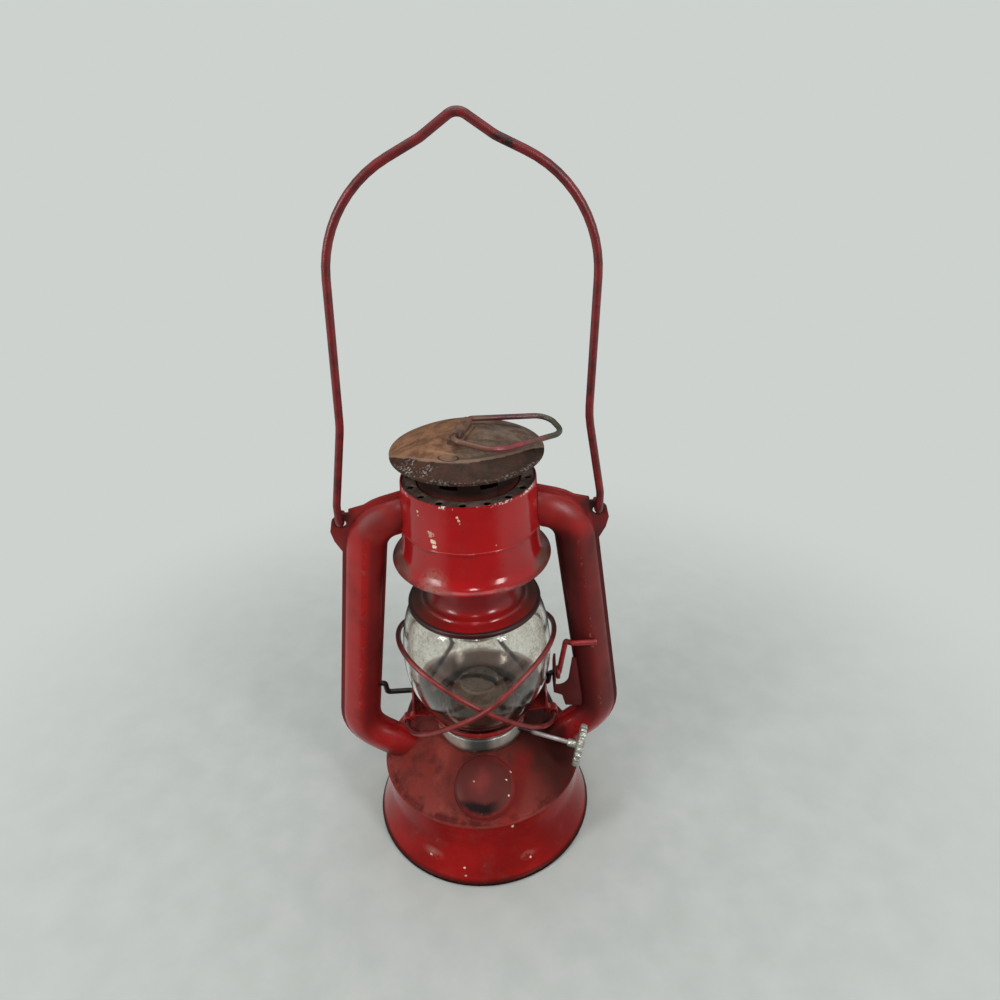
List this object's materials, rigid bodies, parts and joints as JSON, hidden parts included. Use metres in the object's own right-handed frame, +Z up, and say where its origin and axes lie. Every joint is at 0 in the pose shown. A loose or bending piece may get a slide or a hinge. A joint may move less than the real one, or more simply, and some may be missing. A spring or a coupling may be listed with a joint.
{
  "type": "kerosene lantern",
  "caption": "Small tubular kerosene lantern: glass globe on a lifting carrier with crossed wire guards, wick winder, screw filler cap, vented hood with sprung chimney, and a swinging wire bail.",
  "frame": {"origin": "on the table, under the centre of the tank", "axes": "+Z up, -Y towards the filler cap at the front, +X towards the side tube with the lift lever"},
  "size_m": [0.1252, 0.1, 0.3007],
  "materials": {
    "red_enamel": "worn glossy red enamel with chips and grime",
    "dark_red_wire": "dark red painted wire, worn black in places",
    "tarnished_nickel": "tarnished plating",
    "sooty_steel": "matt, sooty and browned",
    "rusty_steel": "brown rust over worn paint",
    "bare_steel": "dull bare steel",
    "brass": "dull",
    "glass": "clear, slightly grimy",
    "cotton": "woven cotton",
    "cork": "pressed cork"
  },
  "bodies": {
    "frame": {"tank_shell": "red_enamel", "tank_bottom": "red_enamel", "filler_neck": "tarnished_nickel", "burner_ferrule": "tarnished_nickel", "burner_base": "tarnished_nickel", "burner_deck": "sooty_steel", "burner_cone": "sooty_steel", "wick_tube": "brass", "lever_bracket": "red_enamel", "left_tube_front": "red_enamel", "left_tube_rear": "red_enamel", "right_tube_front": "red_enamel", "right_tube_rear": "red_enamel", "hood_drum": "red_enamel", "vent_plate": "bare_steel", "chimney_spring": "bare_steel"},
    "bail": {"bail": "dark_red_wire"},
    "globe_carrier": {"globe_plate": "red_enamel", "globe": "glass", "guard_wire_a": "dark_red_wire", "guard_wire_b": "dark_red_wire"},
    "lift": {"lift_crank_left": "sooty_steel", "lift_crank_right": "sooty_steel", "lift_lever": "dark_red_wire"},
    "chimney": {"chimney_tube": "sooty_steel", "chimney_collar": "red_enamel", "chimney_cap": "rusty_steel", "ring_clip": "rusty_steel"},
    "lift_ring": {"lift_ring": "rusty_steel"},
    "winder": {"wick_gears": "brass", "wick_shaft": "sooty_steel", "wick_knob": "tarnished_nickel"},
    "wick": {"wick": "cotton"},
    "filler_seal": {"filler_gasket": "cork"},
    "filler_cap": {"filler_cap": "red_enamel"}
  },
  "joints": [
    {"name": "bail_swing", "type": "hinge", "parent": "frame", "child": "bail", "pos_m": [0, 0, 0.161], "axis": [1, 0, 0], "range_deg": [-95, 95]},
    {"name": "globe_lift", "type": "slide", "parent": "frame", "child": "globe_carrier", "axis": [0, 0, 1], "range_m": [0, 0.0082], "deforming": ["chimney_spring"]},
    {"name": "lever_turn", "type": "hinge", "parent": "frame", "child": "lift", "pos_m": [0, 0, 0.075], "axis": [1, 0, 0], "range_deg": [0, 60.2]},
    {"name": "chimney_lift", "type": "slide", "parent": "globe_carrier", "child": "chimney", "axis": [0, 0, 1], "range_m": [0, 0.009], "stiffness_N_per_m": 60, "springref_m": -0.005, "deforming": ["chimney_spring"]},
    {"name": "ring_fold", "type": "hinge", "parent": "chimney", "child": "lift_ring", "pos_m": [0, 0, 0.1969], "axis": [-0.342, -0.9397, 0], "range_deg": [0, 195]},
    {"name": "wick_turn", "type": "hinge", "parent": "frame", "child": "winder", "pos_m": [-0.00143, -0.00469, 0.056], "axis": [0.9432, -0.2884, -0.165], "range_deg": [-90, 130]},
    {"name": "wick_rise", "type": "slide", "parent": "frame", "child": "wick", "axis": [0, 0, 1], "range_m": [-0.0056, 0.008]},
    {"name": "filler_seal_rise", "type": "slide", "parent": "frame", "child": "filler_seal", "axis": [0, -0.5243, 0.8515], "range_m": [0, 0.005]},
    {"name": "filler_cap_turn", "type": "hinge", "parent": "filler_seal", "child": "filler_cap", "pos_m": [0, -0.032, 0.04082], "axis": [0, -0.5243, 0.8515], "range_deg": [0, 720]}
  ],
  "couplings": [
    {"joint": "lever_turn", "follows": "globe_lift", "rad_per_m": 127.86},
    {"joint": "wick_rise", "follows": "wick_turn", "m_per_rad": 0.0035},
    {"joint": "filler_seal_rise", "follows": "filler_cap_turn", "m_per_rad": 0.000397}
  ]
}
